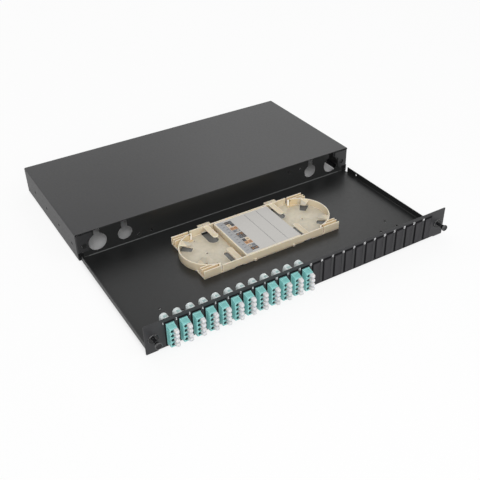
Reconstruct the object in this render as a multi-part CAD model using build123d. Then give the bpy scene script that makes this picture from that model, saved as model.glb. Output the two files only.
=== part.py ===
from build123d import *
import math
import os

# Fibre patch panel: a folded steel sleeve with a sliding drawer, all in millimetres.
# X runs across the front, Y from the front to the rear, Z up. The drawer is modelled pulled out.
# Everything is placed from the sleeve's front plane, then moved so that the origin is the
# middle of the whole base.

# Sheet steel
sheet = 1.0
bend_radius = 0.8

# Sleeve
sleeve_width = 440.0
sleeve_depth = 211.5
sleeve_height = 40.3
rail_width = 11.0
bracket_hole_count = 4
bracket_hole_pitch = 51.0
bracket_hole_first = 18.0
bracket_hole_height = 18.0
bracket_hole_radius = 2.0

# Corner flanges at the sleeve's front
flange_width = 16.6
flange_head_width = 23.0
flange_taper = 4.0
flange_head_height = 6.6
flange_top_gap = 2.8
flange_lip_gap = 0.6

# Drawer pan
drawer_side_gap = 1.5
slide_gap = 0.2
stop_gap = 0.3
lip_height = 9.2
lip_rear_gap = 8.0
lip_hole_radius = 1.5
lip_hole_from_rear = 29.0
rear_wall_inset = 8.0
rear_wall_top_gap = 1.2
drawer_reach = 206.4

# Cable entries in the drawer's rear wall, measured in from the sleeve's sides
entry_height = 19.3
wide_entry_inset = 29.7
wide_entry_radius = 12.9
narrow_entry_inset = 68.4
narrow_entry_radius = 10.3
entry_slot_width = 8.5
tie_hole_radius = 1.75
left_tie_height = 10.0
right_tie_height = 28.7
far_tie_inset = 86.6
near_tie_inset = 106.7

# Small holes in the drawer floor, measured in from the sleeve's sides and back from the panel
floor_hole_radius = 1.6
floor_holes = [(46.5, 60.4), (40.0, 43.4), (68.0, 43.4)]

# Front panel
panel_foot = 0.2
panel_top_lift = 0.7
panel_corner = 1.0
return_depth = 14.0
return_side_gap = 4.0

# Port row
port_count = 24
fitted_ports = 12
port_row_margin = 22.0
port_shift = 0.8
port_height = 19.3
cutout_width = 9.9
cutout_length = 26.6

# Gaskets round the ports
gasket_width = 12.4
gasket_length = 34.2
gasket_thickness = 0.4

# Adapters
adapter_width = 9.8
adapter_flange_length = 29.6
adapter_flange_depth = 1.6
adapter_nose = 9.8
adapter_nose_length = 26.0
adapter_nose_width = 9.6
adapter_tail = 15.9
adapter_tail_width = 7.8
adapter_fit = 0.25
ferrule_count = 4
ferrule_pitch = 6.25
socket_size = 4.9
socket_shift = 2.0
socket_depth = 7.0
latch_width = 2.9
latch_length = 3.4

# Dust caps on the adapters
cap_fit = 0.15
cap_head_width = 5.4
cap_head_shift = 0.7
cap_head_height = 5.4
cap_head_corner = 1.4
cap_head_length = 5.3
cap_plug_length = 6.0
cover_wall = 0.6
cover_end = 1.0
cover_gap = 0.25
cover_rise = 2.8
cover_crown = 2.4
cover_start = 2.0

# Blanks
blank_width = 9.8
blank_length = 29.8
blank_depth = 1.4
blank_corner = 0.4
blank_plug_depth = 6.0
blank_plug_wall = 1.2
blank_fit = 0.2
grip_height = 1.6
grip_depth = 0.8

# Plungers and their grommets
plunger_inset = 10.4
plunger_height = 19.5
grommet_flange_radius = 6.5
grommet_flange_depth = 1.5
grommet_bevel = 0.7
grommet_barrel_radius = 3.4
grommet_barrel_length = 5.5
grommet_fit = 0.1
grommet_slot = 1.0
pin_radius = 2.0
pin_fit = 0.05
pin_reach = 1.0
plunger_travel = 6.0
plunger_rest_gap = 0.5
knob_radius = 4.3
knob_neck_radius = 2.6
knob_waist_radius = 3.0
knob_length = 6.5
knob_rim = 0.7
knob_band = 1.2
flange_hole_clearance = 0.3

# Splice tray
tray_centre_x = 3.4
tray_centre_y = -80.1
tray_tip_span = 210.2
tray_width = 91.2
tray_height = 11.6
tray_floor = 1.4
tray_wall = 1.4
ring_centre = 72.0
ring_radius = 41.0
horn_rib_inset = 6.4
horn_inner_inset = 10.8
horn_rib_wall = 1.0
notch_place = 79.0
notch_width = 2.0
foot_rise = 1.2
foot_start = 47.5
foot_end = 60.0
tongue_place = 52.6
tongue_width = 8.0
tongue_thickness = 1.3
tongue_drop = 1.0
back_tongue_length = 30.0
front_tongue_length = 30.0
back_opening_place = 53.9
back_opening_width = 15.0
back_opening_length = 29.5
front_opening_place = 55.2
front_opening_width = 7.0
front_opening_length = 34.5
ring_tab_angle = 45.0
ring_tab_base = 11.0
ring_tab_tip = 7.0
ring_tab_length = 15.5
tab_opening_margin = 1.0
disc_hole_place = 76.0
disc_hole_radius = 1.8
pilot_hole_place = (77.2, 33.7)
pilot_hole_radius = 1.3
lug_place = 53.8
lug_width = 18.0
lug_depth = 5.6
lug_thickness = 3.0
lug_bore_radius = 1.1
clip_place = 30.0
clip_width = 3.0
clip_depth = 1.6

# Splice cover and the combs under it
cover_shift = 1.1
cover_width = 85.4
cover_side_gap = 0.6
cover_thickness = 1.2
cover_top_drop = 0.4
skirt_thickness = 1.2
label_recess = 0.3
label_border = 1.4
comb_length = 34.0
comb_width = 58.0
comb_base = 1.2
comb_slots = 12
comb_rib = 1.2
comb_rib_height = 4.0
comb_spacing = 40.0

# Places worked out from the sizes above
half_width = sleeve_width / 2
pan_half = half_width - sheet - drawer_side_gap
pan_bottom = sheet + slide_gap
pan_top = pan_bottom + sheet
lip_top = pan_bottom + lip_height
rear_wall_front = sheet + stop_gap
rear_wall_back = rear_wall_front + sheet
rear_wall_top = sleeve_height - sheet - rear_wall_top_gap
panel_back = -drawer_reach
panel_front = panel_back - sheet
panel_top = sleeve_height + panel_top_lift
flange_bottom = lip_top + flange_lip_gap
flange_top = sleeve_height - flange_top_gap
plunger_place = half_width - plunger_inset
port_row_start = port_row_margin - half_width
port_pitch = -2 * port_row_start / port_count
gasket_front = panel_front - gasket_thickness
nose_front = panel_front - adapter_nose
tail_end = panel_front + adapter_tail
cap_front = nose_front - cap_head_length
knob_back = panel_front - grommet_flange_depth - plunger_travel - plunger_rest_gap
knob_front = knob_back - knob_length
tray_base = pan_top
tray_top = tray_base + tray_height
tray_deck = tray_base + tray_floor
cover_top = tray_top - cover_top_drop
front_reach = -min(cap_front, knob_front)
origin_shift = (front_reach - sleeve_depth) / 2


def block(x0, x1, y0, y1, z0, z1):
    """A box between two corners."""
    middle = Pos((x0 + x1) / 2, (y0 + y1) / 2, (z0 + z1) / 2)
    return middle * Box(x1 - x0, y1 - y0, z1 - z0)


def along_y(profile, y0, y1):
    """Extrudes a profile drawn in X and Z from y0 to y1."""
    return extrude(Plane.XZ.offset(-y1) * profile, y1 - y0, dir=(0, -1, 0))


def along_x(profile, x0, x1):
    """Extrudes a profile drawn in Y and Z from x0 to x1."""
    return extrude(Plane.YZ.offset(x0) * profile, x1 - x0, dir=(1, 0, 0))


def along_z(profile, z0, z1):
    """Extrudes a profile drawn in X and Y from z0 to z1."""
    return extrude(Plane.XY.offset(z0) * profile, z1 - z0, dir=(0, 0, 1))


def rod_y(x, z, radius, y0, y1):
    """A round bar along Y."""
    return along_y(Pos(x, z) * Circle(radius), y0, y1)


def rod_z(x, y, radius, z0, z1):
    """A round bar along Z."""
    return along_z(Pos(x, y) * Circle(radius), z0, z1)


def folded(*points):
    """A folded strip of sheet whose middle line runs through the points."""
    return trace(FilletPolyline(*points, radius=bend_radius + sheet / 2), line_width=sheet)


def both_sides(shape):
    """The shape and its mirror image across the middle plane."""
    return [shape, mirror(shape, about=Plane.YZ)]


def port_centre(number):
    """The X of a port's cut-out, counted from 1 at the left."""
    return port_row_start + (number - 0.5) * port_pitch + port_shift


def corner_flange():
    """The right front corner flange: a folded ear that the plunger locks into."""
    inner = half_width - flange_head_width
    start = half_width - sheet / 2
    path = [(inner, sheet / 2), (start, sheet / 2), (start, 2 * bend_radius + sheet)]
    ear = along_z(folded(*path), flange_bottom, flange_top)
    waist = half_width - flange_width
    waist_top = flange_top - flange_head_height
    outline = Polyline(
        (inner - sheet, flange_bottom - sheet),
        (waist, flange_bottom - sheet),
        (waist, waist_top - flange_taper),
        (inner, waist_top),
        (inner - sheet, waist_top),
        close=True,
    )
    ear -= along_y(make_face(outline), -sheet, 2 * sheet)
    hole = grommet_barrel_radius + flange_hole_clearance
    return ear - rod_y(plunger_place, plunger_height, hole, -sheet, 2 * sheet)


def build_sleeve():
    """The outer cover: one folded sheet with bottom rails, corner flanges and bracket holes."""
    side = half_width - sheet / 2
    roof = sleeve_height - sheet / 2
    rail_end = half_width - rail_width
    path = [
        (-rail_end, sheet / 2),
        (-side, sheet / 2),
        (-side, roof),
        (side, roof),
        (side, sheet / 2),
        (rail_end, sheet / 2),
    ]
    sleeve = along_y(folded(*path), 0, sleeve_depth)
    corner = bend_radius + sheet
    relief = block(half_width - corner, half_width + sheet, -sheet, corner, flange_bottom, flange_top)
    for notch in both_sides(relief):
        sleeve -= notch
    for ear in both_sides(corner_flange()):
        sleeve += ear
    for index in range(bracket_hole_count):
        place = bracket_hole_first + index * bracket_hole_pitch
        hole = Pos(0, place, bracket_hole_height) * Rot(0, 90, 0)
        sleeve -= hole * Cylinder(bracket_hole_radius, sleeve_width + sheet)
    return sleeve


def cable_entry(x, radius):
    """A keyhole cut: a round cable entry with a slot up to the wall's top edge."""
    cut = rod_y(x, entry_height, radius, rear_wall_front - sheet, rear_wall_back + sheet)
    half_slot = entry_slot_width / 2
    slot = block(
        x - half_slot,
        x + half_slot,
        rear_wall_front - sheet,
        rear_wall_back + sheet,
        entry_height,
        rear_wall_top + sheet,
    )
    return cut + slot


def build_drawer_pan():
    """The drawer's floor with two side lips, and a rear wall with four cable entries."""
    floor_middle = pan_bottom + sheet / 2
    lip = pan_half - sheet / 2
    path = [(-lip, lip_top), (-lip, floor_middle), (lip, floor_middle), (lip, lip_top)]
    pan = along_y(folded(*path), panel_back + bend_radius, -lip_rear_gap)
    wall_middle = rear_wall_back - sheet / 2
    rear_path = [(-lip_rear_gap, floor_middle), (wall_middle, floor_middle), (wall_middle, rear_wall_top)]
    half_wall = half_width - rear_wall_inset
    pan += along_x(folded(*rear_path), -half_wall, half_wall)
    for side in (-1, 1):
        pan -= cable_entry(side * (half_width - wide_entry_inset), wide_entry_radius)
        pan -= cable_entry(side * (half_width - narrow_entry_inset), narrow_entry_radius)
        tie_height = left_tie_height if side < 0 else right_tie_height
        for inset in (near_tie_inset, far_tie_inset):
            place = side * (half_width - inset)
            pan -= rod_y(place, tie_height, tie_hole_radius, 0, rear_wall_back + sheet)
        for inset, behind in floor_holes:
            x = side * (half_width - inset)
            y = panel_back + behind
            pan -= rod_z(x, y, floor_hole_radius, pan_bottom - sheet, pan_top + sheet)
    lip_hole = Pos(0, -lip_hole_from_rear, (pan_top + lip_top) / 2) * Rot(0, 90, 0)
    pan -= lip_hole * Cylinder(lip_hole_radius, sleeve_width)
    return pan


def build_front_panel():
    """The fascia: a flat plate with a return under the drawer floor, port cut-outs and ear holes."""
    half_return = half_width - rail_width - return_side_gap
    middle = panel_front + sheet / 2
    foot = panel_foot + sheet / 2
    path = [(middle, panel_top), (middle, foot), (panel_back + return_depth, foot)]
    panel = along_x(folded(*path), -half_return, half_return)
    for ear in both_sides(block(half_return, half_width, panel_front, panel_back, panel_foot, panel_top)):
        panel += ear
    corners = panel.edges().filter_by(Axis.Y)
    corners = corners.filter_by(lambda edge: abs(edge.center().X) > half_width - sheet)
    panel = fillet(corners, panel_corner)
    cutout = Rectangle(cutout_width, cutout_length)
    for number in range(1, port_count + 1):
        place = Pos(port_centre(number), port_height)
        panel -= along_y(place * cutout, panel_front - sheet, panel_back + sheet)
    hole = grommet_barrel_radius + grommet_fit
    for side in (-1, 1):
        x = side * plunger_place
        panel -= rod_y(x, plunger_height, hole, panel_front - sheet, panel_back + sheet)
    return panel


def build_port_gaskets():
    """The thin frames between the panel's face and the adapters or blanks, one at each port."""
    frame = Rectangle(gasket_width, gasket_length) - Rectangle(cutout_width, cutout_length)
    gaskets = []
    for number in range(1, port_count + 1):
        place = Pos(port_centre(number), port_height)
        gaskets.append(along_y(place * frame, gasket_front, panel_front))
    return Compound(children=gaskets)


def ferrule_heights():
    """The heights of one adapter's four sockets, from the top down."""
    middle = (ferrule_count - 1) / 2
    return [port_height + (middle - index) * ferrule_pitch for index in range(ferrule_count)]


def build_adapter(number):
    """A four-port adapter: flange, tapered nose with latch notches, and a slimmer tail."""
    x = port_centre(number)
    flange_front = gasket_front - adapter_flange_depth
    outline = Pos(x, port_height) * Rectangle(adapter_width, adapter_flange_length)
    flange = along_y(outline, flange_front, gasket_front)
    root = Plane.XZ.offset(-flange_front)
    tip = Plane.XZ.offset(-nose_front)
    nose = loft([
        root * Pos(x, port_height) * Rectangle(adapter_width, adapter_flange_length),
        tip * Pos(x, port_height) * Rectangle(adapter_nose_width, adapter_nose_length),
    ])
    tail = Pos(x, port_height) * Rectangle(adapter_tail_width, adapter_nose_length)
    adapter = flange + nose + along_y(tail, gasket_front, tail_end)
    for height in ferrule_heights():
        socket = Pos(x + socket_shift, height) * Rectangle(socket_size, socket_size)
        latch_place = x + socket_shift - (socket_size + latch_width) / 2
        latch = Pos(latch_place, height) * Rectangle(latch_width, latch_length)
        adapter -= along_y(socket + latch, nose_front - adapter_fit, nose_front + socket_depth)
    return adapter


def build_port_caps(number):
    """The four push-in dust caps of one adapter."""
    x = port_centre(number) + socket_shift
    caps = []
    plug_size = socket_size - 2 * cap_fit
    outline = chamfer(Rectangle(cap_head_width, cap_head_height).vertices(), cap_head_corner)
    for height in ferrule_heights():
        plug = Pos(x, height) * Rectangle(plug_size, plug_size)
        head = Pos(x + cap_head_shift, height) * outline
        cap = along_y(plug, nose_front, nose_front + cap_plug_length)
        caps.append(cap + along_y(head, cap_front, nose_front))
    return Compound(children=caps)


def crowned(width, height):
    """A rectangle whose top and bottom are crowned by an arc."""
    half = width / 2
    shoulder = height / 2 - cover_crown
    left = Line((-half, -shoulder), (-half, shoulder))
    top = ThreePointArc((-half, shoulder), (0, height / 2), (half, shoulder))
    right = Line((half, shoulder), (half, -shoulder))
    bottom = ThreePointArc((half, -shoulder), (0, -height / 2), (-half, -shoulder))
    return make_face([left, top, right, bottom])


def build_rear_cap(number):
    """The one-piece dust cover that slips over an adapter's tail."""
    inner_width = adapter_tail_width + 2 * cover_gap
    inner_height = adapter_nose_length + 2 * cover_gap
    place = Pos(port_centre(number), port_height)
    shell_width = inner_width + 2 * cover_wall
    shell_height = inner_height + 2 * cover_rise
    start = panel_front + cover_start
    end = tail_end + cover_gap + cover_end
    shell = along_y(place * crowned(shell_width, shell_height), start, end)
    shell = chamfer(shell.faces().sort_by(Axis.Y)[-1].edges(), cover_end)
    cavity = along_y(place * Rectangle(inner_width, inner_height), start, tail_end + cover_gap)
    return shell - cavity


def build_blank(number):
    """A blanking cover with a finger grip at its top and a hollow plug in the cut-out."""
    face = gasket_front - blank_depth
    top = port_height + blank_length / 2
    half = blank_width / 2
    x = port_centre(number)
    place = Pos(x, port_height)
    cover = along_y(place * Rectangle(blank_width, blank_length), face, gasket_front)
    cover = chamfer(cover.faces().sort_by(Axis.Y)[0].edges(), blank_corner)
    cover -= block(x - half, x + half, face - sheet, face + grip_depth, top - grip_height, top + sheet)
    plug_width = cutout_width - 2 * blank_fit
    plug_length = cutout_length - 2 * blank_fit
    plug = place * Rectangle(plug_width, plug_length)
    core = place * Rectangle(plug_width - 2 * blank_plug_wall, plug_length - 2 * blank_plug_wall)
    return cover + along_y(plug - core, gasket_front, panel_front + blank_plug_depth)


def build_grommets():
    """The two split nylon grommets that guide the plungers through the panel's ears."""
    barrel_end = panel_back + grommet_barrel_length
    grommets = []
    for side in (-1, 1):
        x = side * plunger_place
        flange_front = panel_front - grommet_flange_depth
        body = rod_y(x, plunger_height, grommet_flange_radius, flange_front, panel_front)
        body = chamfer(body.faces().sort_by(Axis.Y)[0].edges(), grommet_bevel)
        body += rod_y(x, plunger_height, grommet_barrel_radius, panel_front, barrel_end)
        half_slot = grommet_slot / 2
        radius = grommet_flange_radius
        for wide, tall in ((radius, half_slot), (half_slot, radius)):
            body -= block(
                x - wide,
                x + wide,
                panel_back + grommet_slot,
                barrel_end + grommet_slot,
                plunger_height - tall,
                plunger_height + tall,
            )
        bore = pin_radius + pin_fit
        body -= rod_y(x, plunger_height, bore, panel_front - grommet_barrel_length, barrel_end + sheet)
        grommets.append(body)
    return Compound(children=grommets)


def build_plunger(side):
    """A push-pull pin with a flared, waisted knob, shown pulled out."""
    tip = panel_back + pin_reach
    band_back = knob_front + knob_rim + knob_band
    waist = (knob_waist_radius, (knob_back + band_back) / 2)
    outline = [
        Line((0, tip), (pin_radius, tip)),
        Line((pin_radius, tip), (pin_radius, knob_back)),
        Line((pin_radius, knob_back), (knob_neck_radius, knob_back)),
        ThreePointArc((knob_neck_radius, knob_back), waist, (knob_radius, band_back)),
        Line((knob_radius, band_back), (knob_radius, knob_front + knob_rim)),
        Line((knob_radius, knob_front + knob_rim), (knob_radius - knob_rim, knob_front)),
        Line((knob_radius - knob_rim, knob_front), (0, knob_front)),
        Line((0, knob_front), (0, tip)),
    ]
    pin = revolve(make_face(outline), axis=Axis.Y)
    return Pos(side * plunger_place, 0, plunger_height) * pin


def tongue(place, width, length):
    """The outline of a strip that points inwards from the tray's rear wall, with a round free end."""
    reach = tray_width / 2 - tray_wall / 2
    straight = length - width / 2
    bar = Pos(place, reach - straight / 2) * Rectangle(width, straight)
    return bar + Pos(place, reach - straight) * Circle(width / 2)


def ring_tab(angle, margin):
    """The outline of a tapered tab that points inwards from the right ring wall, widened by a margin."""
    outer = ring_radius - tray_wall / 2
    inner = outer - ring_tab_length - margin
    wide = ring_tab_base / 2 + margin
    narrow = ring_tab_tip / 2 + margin
    outline = Polyline((outer, -wide), (outer, wide), (inner, narrow), (inner, -narrow), close=True)
    return Pos(ring_centre, 0) * Rot(0, 0, angle) * make_face(outline)


def right_overhangs():
    """The tongues and ring tabs of the tray's right half, which hold the fibres down."""
    top = tray_top - tongue_drop
    under = top - tongue_thickness
    back = tongue(tongue_place, tongue_width, back_tongue_length)
    front = tongue(tongue_place, tongue_width, front_tongue_length)
    shapes = [along_z(back, under, top), mirror(along_z(front, under, top), about=Plane.XZ)]
    shapes += [along_z(ring_tab(side * ring_tab_angle, 0), under, top) for side in (-1, 1)]
    return shapes


def right_floor_openings():
    """The moulding openings in the floor, below the tongues and tabs of the tray's right half."""
    low = tray_base - tray_floor
    high = tray_deck + sheet
    back = tongue(back_opening_place, back_opening_width, back_opening_length)
    front = tongue(front_opening_place, front_opening_width, front_opening_length)
    shapes = [along_z(back, low, high), mirror(along_z(front, low, high), about=Plane.XZ)]
    shapes += [along_z(ring_tab(side * ring_tab_angle, tab_opening_margin), low, high) for side in (-1, 1)]
    return shapes


def right_floor_holes():
    """The small round holes in the right half of the tray's floor."""
    low = tray_base - tray_floor
    high = tray_deck + tray_floor
    holes = [rod_z(disc_hole_place, 0, disc_hole_radius, low, high)]
    for side in (-1, 1):
        x, y = pilot_hole_place
        holes.append(rod_z(x, side * y, pilot_hole_radius, low, high))
    return holes


def right_ring_wall():
    """The right ring wall, from one horn rib round to the other."""
    ring = Circle(ring_radius) - Circle(ring_radius - tray_wall)
    wall = along_z(Pos(ring_centre, 0) * ring, tray_deck, tray_top)
    rib = tray_width / 2 - horn_rib_inset
    far = ring_centre + 2 * ring_radius
    return wall & block(ring_centre, far, -rib, rib, tray_base, tray_top + tray_wall)


def right_horn_walls():
    """The rib and the short inner rib of each right horn."""
    tip = tray_tip_span / 2
    rib = tray_width / 2 - horn_rib_inset
    rib_start = notch_place + notch_width
    short = tray_width / 2 - horn_inner_inset
    short_start = ring_centre + math.sqrt((ring_radius - tray_wall / 2) ** 2 - short**2)
    half = horn_rib_wall / 2
    walls = []
    for side in (-1, 1):
        walls.append(block(rib_start, tip, side * rib - half, side * rib + half, tray_deck, tray_top))
        walls.append(block(short_start, tip, side * short - half, side * short + half, tray_deck, tray_top))
    return walls


def hinge_lug():
    """A bored stacking lug on the right of the tray's rear wall."""
    wall = tray_width / 2
    left = lug_place - lug_width / 2
    lug = block(left, left + lug_width, wall, wall + lug_depth, tray_top - lug_thickness, tray_top)
    bore = Pos(lug_place, wall + lug_depth / 2, tray_top - lug_thickness / 2) * Rot(0, 90, 0)
    return lug - bore * Cylinder(lug_bore_radius, lug_width + 2 * tray_wall)


def front_clip():
    """A small stacking clip at the foot of the tray's front wall, on the right."""
    left = clip_place - clip_width / 2
    wall = -tray_width / 2
    return block(left, left + clip_width, wall - clip_depth, wall, tray_base, tray_base + clip_width)


def long_wall_cuts(side):
    """A slit through a long wall, where fibres can be dropped in, and a raised part of the wall's foot."""
    wall = side * (tray_width / 2 - tray_wall / 2)
    near = wall - tray_wall
    far = wall + tray_wall
    left = notch_place - notch_width / 2
    slit = block(left, left + notch_width, near, far, tray_deck, tray_top + tray_wall)
    foot = block(foot_start, foot_end, near, far, tray_base - sheet, tray_base + foot_rise)
    return [slit, foot]


def build_splice_tray():
    """The moulded tray: round ends, horned corners, ring walls, ribs, tongues, tabs and lugs."""
    half = tray_width / 2
    tip = tray_tip_span / 2
    tray = block(-tip, tip, -half, half, tray_base, tray_deck)
    for disc in both_sides(rod_z(ring_centre, 0, ring_radius, tray_base, tray_deck)):
        tray += disc
    for side in (-1, 1):
        inner = side * (half - tray_wall)
        outer = side * half
        tray += block(-tip, tip, min(inner, outer), max(inner, outer), tray_deck, tray_top)
    added = [right_ring_wall(), *right_horn_walls(), hinge_lug(), front_clip(), *right_overhangs()]
    removed = [*right_floor_openings(), *right_floor_holes(), *long_wall_cuts(1), *long_wall_cuts(-1)]
    for shape in removed:
        for cut in both_sides(shape):
            tray -= cut
    for shape in added:
        for piece in both_sides(shape):
            tray += piece
    return Pos(tray_centre_x, tray_centre_y) * tray


def build_splice_cover():
    """The clip-on cover over the splice area: a flat top with a label recess, and two skirts."""
    x = tray_centre_x + cover_shift
    half_x = cover_width / 2
    half_y = tray_width / 2 - tray_wall - cover_side_gap
    top = Pos(x, tray_centre_y) * RectangleRounded(cover_width, 2 * half_y, tray_wall)
    cover = along_z(top, cover_top - cover_thickness, cover_top)
    edge_y = half_y - label_border
    cover -= block(
        x - half_x + label_border,
        x + half_x + sheet,
        tray_centre_y - edge_y,
        tray_centre_y + edge_y,
        cover_top - label_recess,
        cover_top + sheet,
    )
    for side in (-1, 1):
        outer = x + side * half_x
        inner = x + side * (half_x - skirt_thickness)
        y0 = tray_centre_y - half_y + tray_wall
        y1 = tray_centre_y + half_y - tray_wall
        cover += block(min(outer, inner), max(outer, inner), y0, y1, tray_deck, cover_top - cover_thickness)
    return cover


def build_splice_combs():
    """The two slotted holders under the cover, which would grip the splice sleeves."""
    x = tray_centre_x + cover_shift
    combs = []
    pitch = comb_width / comb_slots
    for side in (-1, 1):
        middle = x + side * comb_spacing / 2
        low = tray_centre_y - comb_width / 2
        high = tray_centre_y + comb_width / 2
        x0 = middle - comb_length / 2
        x1 = middle + comb_length / 2
        comb = block(x0, x1, low, high, tray_deck, tray_deck + comb_base)
        for index in range(comb_slots + 1):
            y = low + index * pitch
            y0 = max(low, y - comb_rib / 2)
            y1 = min(high, y + comb_rib / 2)
            comb += block(x0, x1, y0, y1, tray_deck + comb_base, tray_deck + comb_base + comb_rib_height)
        combs.append(comb)
    return Compound(children=combs)


def write(node, shape):
    """Moves a sub-part's solids into the object's frame and writes them."""
    solids = [Pos(0, origin_shift, 0) * solid for solid in shape.solids()]
    placed = solids[0] if len(solids) == 1 else Compound(children=solids)
    export_step(placed, f"parts/{node}.step")


def main():
    os.makedirs("parts", exist_ok=True)
    write("sleeve", build_sleeve())
    write("drawer_pan", build_drawer_pan())
    write("front_panel", build_front_panel())
    write("port_gaskets", build_port_gaskets())
    for number in range(1, fitted_ports + 1):
        write(f"adapter_{number:02d}", build_adapter(number))
        write(f"port_caps_{number:02d}", build_port_caps(number))
        write(f"rear_cap_{number:02d}", build_rear_cap(number))
    for number in range(fitted_ports + 1, port_count + 1):
        write(f"blank_{number:02d}", build_blank(number))
    write("grommets", build_grommets())
    write("plunger_left", build_plunger(-1))
    write("plunger_right", build_plunger(1))
    write("splice_tray", build_splice_tray())
    write("splice_cover", build_splice_cover())
    write("splice_combs", build_splice_combs())


main()
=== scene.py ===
import math

import bmesh
import bpy
from bpy.props import FloatProperty, FloatVectorProperty, IntProperty, PointerProperty
from mathutils import Matrix, Vector


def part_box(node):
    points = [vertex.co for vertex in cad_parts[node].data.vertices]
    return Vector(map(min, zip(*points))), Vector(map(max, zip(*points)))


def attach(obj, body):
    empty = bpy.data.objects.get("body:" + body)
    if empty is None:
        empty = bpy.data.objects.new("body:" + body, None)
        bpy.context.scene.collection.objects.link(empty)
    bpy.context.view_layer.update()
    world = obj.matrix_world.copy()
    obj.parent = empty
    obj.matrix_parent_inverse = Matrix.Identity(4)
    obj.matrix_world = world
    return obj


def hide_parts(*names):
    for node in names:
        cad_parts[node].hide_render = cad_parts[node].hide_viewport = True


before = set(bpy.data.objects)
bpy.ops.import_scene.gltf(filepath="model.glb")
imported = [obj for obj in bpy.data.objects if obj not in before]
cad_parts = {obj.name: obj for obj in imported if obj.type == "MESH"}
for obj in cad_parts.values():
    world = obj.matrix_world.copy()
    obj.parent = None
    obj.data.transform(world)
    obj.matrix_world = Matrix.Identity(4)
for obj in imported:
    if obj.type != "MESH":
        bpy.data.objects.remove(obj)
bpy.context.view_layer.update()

bl_info = {
    "name": "Fibre patch panel",
    "version": (1, 0, 0),
    "blender": (4, 5, 0),
    "location": "View3D > Sidebar > Patch panel",
    "description": "Dresses the frame of a fibre patch panel with its finished pieces, materials and stage",
    "category": "Object",
}

MM = 0.001
SHEET = 1.0 * MM
SOCKET_PITCH = 6.25 * MM
# The ports that hold an adapter, and those under a blanking cover
FITTED_PORTS = range(1, 13)
EMPTY_PORTS = range(13, 25)

# The panel's face and the row of ports, read from the frame
PANEL_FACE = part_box("front_panel")[0].y
GASKET_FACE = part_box("port_gaskets")[0].y
FIRST_PORT = (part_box("rear_cap_01")[0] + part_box("rear_cap_01")[1]) / 2
PORT_PITCH = (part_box("rear_cap_02")[0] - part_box("rear_cap_01")[0]).x

# Parts of the tray, as low and high distances from its middle: the channels in its horns, and its ring tabs,
# which get a painted shade
HORN_ZONE = (Vector((77.0, 34.0, 1.3)) * MM, Vector((110.0, 45.3, 11.2)) * MM)
TAB_SHADE_ZONE = (Vector((58.0, 0.0, 9.0)) * MM, Vector((96.0, 31.0, 10.9)) * MM)

# Inks of the label: the name of each finish and its colour
INKS = {
    "brown": ("Brown ink", (0.045, 0.024, 0.014)),
    "orange": ("Orange ink", (0.52, 0.27, 0.12)),
    "slate": ("Slate ink", (0.060, 0.066, 0.074)),
    "cream": ("Cream ink", (0.70, 0.56, 0.38)),
    "steel": ("Steel ink", (0.21, 0.22, 0.235)),
    "grey": ("Rule ink", (0.09, 0.09, 0.095)),
    "tint": ("Band tint", (0.36, 0.362, 0.368)),
}

# The stage's lights: name, place, width and power
LIGHTS = (
    ("key", (-0.9, -2.15, 1.45), 1.8, 40.0),
    ("fill", (1.4, -1.6, 1.6), 1.6, 9.0),
    ("rear", (-0.6, 1.8, 1.7), 1.6, 8.0),
    ("sheen", (0.92, 1.24, 1.30), 0.7, 1.9),
)


def length_property(name, description, default):
    """A length for the sidebar, with its default in millimetres."""
    return FloatProperty(name=name, description=description, default=default * MM, unit="LENGTH")


def colour_property(name, description, default):
    """A colour for the sidebar."""
    return FloatVectorProperty(name=name, description=description, default=default, subtype="COLOR")


class PanelSizes(bpy.types.PropertyGroup):
    """Sizes of the finished pieces that the frame leaves open"""

    edge_round: length_property("Edge rounding", "Radius of the small moulded edges", 0.2)
    number_height: length_property("Number height", "Height of the printed port numbers", 3.3)
    ink_thickness: length_property("Ink thickness", "Thickness of the printed ink", 0.04)
    flange_depth: length_property("Adapter flange depth", "Thickness of an adapter's flange", 1.6)
    socket_size: length_property("Socket size", "Side of an adapter's square socket", 4.9)
    socket_depth: length_property("Socket depth", "Depth of an adapter's square socket", 7.0)
    socket_shift: length_property("Socket shift", "How far the sockets sit right of the adapter's middle", 2.0)
    cap_height: length_property("Cap height", "Height of one dust cap's head", 5.4)
    cover_wall: length_property("Rear cover wall", "Wall thickness of a rear dust cover", 0.6)
    label_thickness: length_property("Label thickness", "Thickness of the card on the splice cover", 0.16)
    knob_flutes: IntProperty(
        name="Knob flutes", description="Finger flutes round a plunger's knob", default=16, min=6, max=32
    )


class PanelColours(bpy.types.PropertyGroup):
    """Colours of the finishes"""

    sleeve_paint: colour_property("Sleeve paint", "Powder coat of the outer sleeve", (0.024, 0.024, 0.025))
    drawer_paint: colour_property("Drawer paint", "Powder coat of the drawer", (0.012, 0.0125, 0.0125))
    panel_paint: colour_property("Panel paint", "Powder coat of the front panel", (0.028, 0.028, 0.030))
    number_white: colour_property("Number white", "Ink of the port numbers", (0.86, 0.86, 0.87))
    adapter_aqua: colour_property("Adapter aqua", "Moulded aqua of the adapters", (0.205, 0.525, 0.505))
    cap_white: colour_property("Cap white", "Moulded white of the dust caps", (0.62, 0.625, 0.635))
    cover_white: colour_property("Rear cover white", "Translucent white of the rear covers", (0.90, 0.98, 0.97))
    black_plastic: colour_property("Black plastic", "Grommets, plungers and gaskets", (0.008, 0.008, 0.009))
    blank_plastic: colour_property("Blank plastic", "Blanking covers", (0.022, 0.021, 0.024))
    tray_ivory: colour_property("Tray ivory", "Ivory of the splice tray and its cover", (0.655, 0.565, 0.41))
    comb_grey: colour_property("Comb grey", "Soft rubber of the combs under the cover", (0.55, 0.55, 0.53))
    label_card: colour_property("Label card", "Card on the splice cover", (0.525, 0.51, 0.485))
    floor_grey: colour_property("Floor", "Pale floor under the panel", (0.90, 0.90, 0.90))


# Modelling by hand: choosing, and the moves that are used again and again


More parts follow.
